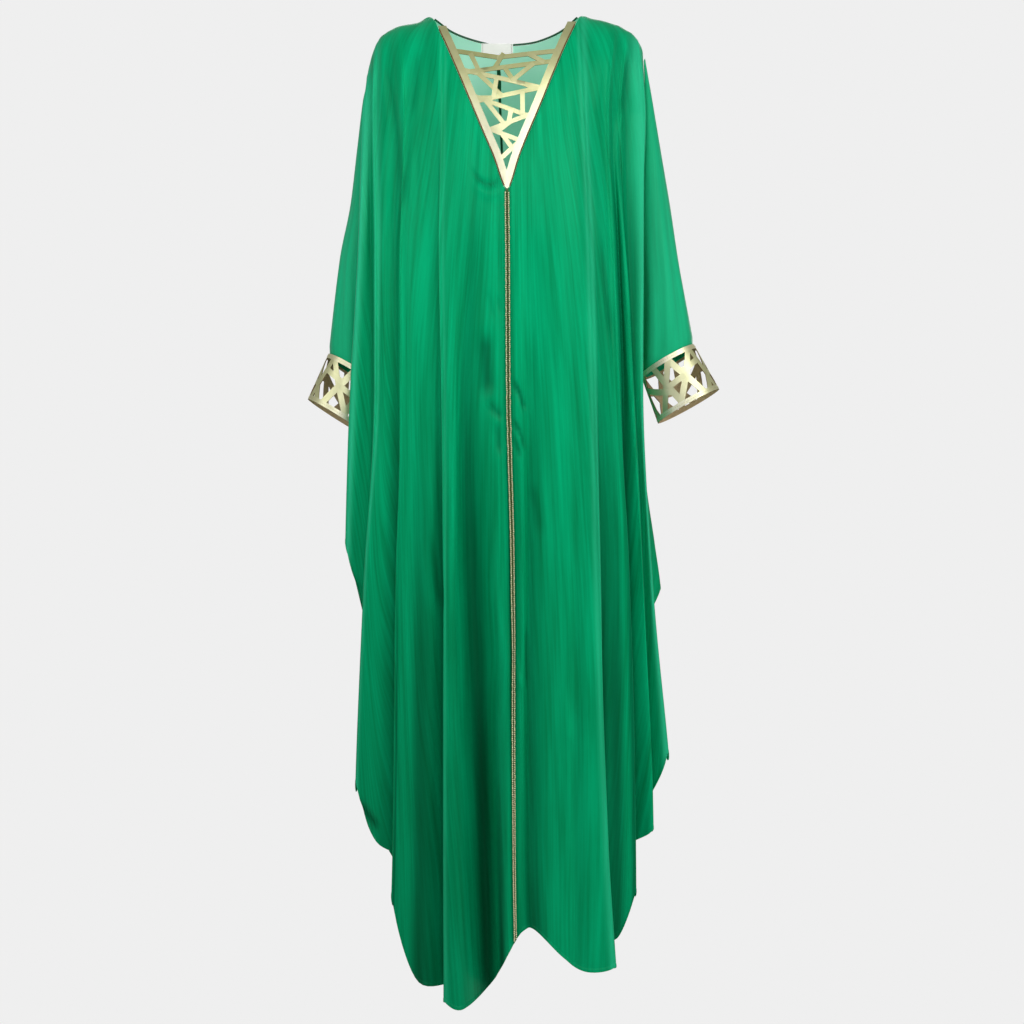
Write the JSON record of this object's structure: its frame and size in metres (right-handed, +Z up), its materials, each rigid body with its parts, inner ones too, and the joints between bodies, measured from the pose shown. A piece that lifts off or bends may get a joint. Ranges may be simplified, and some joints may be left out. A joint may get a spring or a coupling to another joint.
{
  "type": "maxi kaftan",
  "caption": "Floor-length loose kaftan with deep folds, a V neck with a cutwork insert, a bead braid down the front and cutwork cuffs, held open as if worn.",
  "frame": {"origin": "middle of the line between the two neck points of the shoulder seams, where the garment is held", "axes": "+Z up along the garment, the front faces -Y, +X is to the right of a viewer who faces the front"},
  "size_m": [0.6232, 0.3206, 1.4955],
  "materials": {
    "green_silk_satin": "soft satin sheen",
    "gold_leather": "metallic foil on leather",
    "bronze_bead_braid": "small glossy beads",
    "dark_green_binding": "matt rolled binding",
    "white_label_ribbon": "smooth woven ribbon, bare"
  },
  "bodies": {
    "root": {"front_left": "green_silk_satin", "front_right": "green_silk_satin", "back_left": "green_silk_satin", "back_right": "green_silk_satin", "sleeve_left": "green_silk_satin", "sleeve_right": "green_silk_satin", "cuff_left_front": "gold_leather", "cuff_left_back": "gold_leather", "cuff_right_front": "gold_leather", "cuff_right_back": "gold_leather", "neck_insert": "gold_leather", "front_braid": "bronze_bead_braid", "back_neck_binding": "dark_green_binding", "slit_binding": "dark_green_binding", "neck_label": "white_label_ribbon"}
  },
  "joints": []
}
